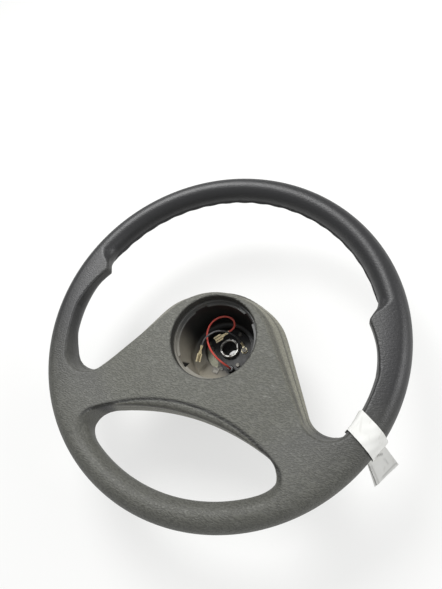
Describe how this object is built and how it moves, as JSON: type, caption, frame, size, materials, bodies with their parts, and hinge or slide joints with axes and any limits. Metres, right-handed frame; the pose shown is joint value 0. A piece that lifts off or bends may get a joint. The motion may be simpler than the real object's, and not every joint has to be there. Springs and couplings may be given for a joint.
{
  "type": "car steering wheel",
  "caption": "Car steering wheel: foam-moulded rim, spokes and hub with thumb bumps, an arched lower opening, and an open horn recess with splined hub sleeve and horn leads.",
  "frame": {"origin": "on the steering axis, at the rear end of the splined hub sleeve", "axes": "+Z along the steering axis towards the driver, +Y to twelve o'clock, +X to the driver's right"},
  "size_m": [0.38, 0.38, 0.1107],
  "materials": {
    "foam_skin": "satin leather grain",
    "frame_steel": "plain",
    "plated_steel": "yellow passivated",
    "turned_steel": "turned",
    "cup_plastic": "matt",
    "carrier_plastic": "satin",
    "contact_brass": "dull",
    "rivet_steel": "plated",
    "red_insulation": "satin",
    "dark_insulation": "satin",
    "tag_paper": "creased"
  },
  "bodies": {
    "root": {"cover_rim_top": "foam_skin", "cover_rim_bottom": "foam_skin", "cover_spoke_left": "foam_skin", "cover_spoke_right": "foam_skin", "cover_hub": "foam_skin", "cover_bell": "foam_skin", "cover_skirt": "foam_skin", "rim_ring": "frame_steel", "spoke_arm_left": "frame_steel", "spoke_arm_right": "frame_steel", "hub_plate": "plated_steel", "hub_sleeve": "turned_steel", "horn_cup": "cup_plastic", "contact_carrier": "carrier_plastic", "slip_ring": "contact_brass", "carrier_rivets": "rivet_steel", "contact_post": "carrier_plastic", "feed_pin": "contact_brass", "cup_clip": "rivet_steel", "earth_screw": "rivet_steel", "earth_lug": "contact_brass", "red_wire": "red_insulation", "dark_wire": "dark_insulation", "red_terminal": "contact_brass", "dark_terminal": "contact_brass", "paper_tag": "tag_paper"}
  },
  "joints": []
}
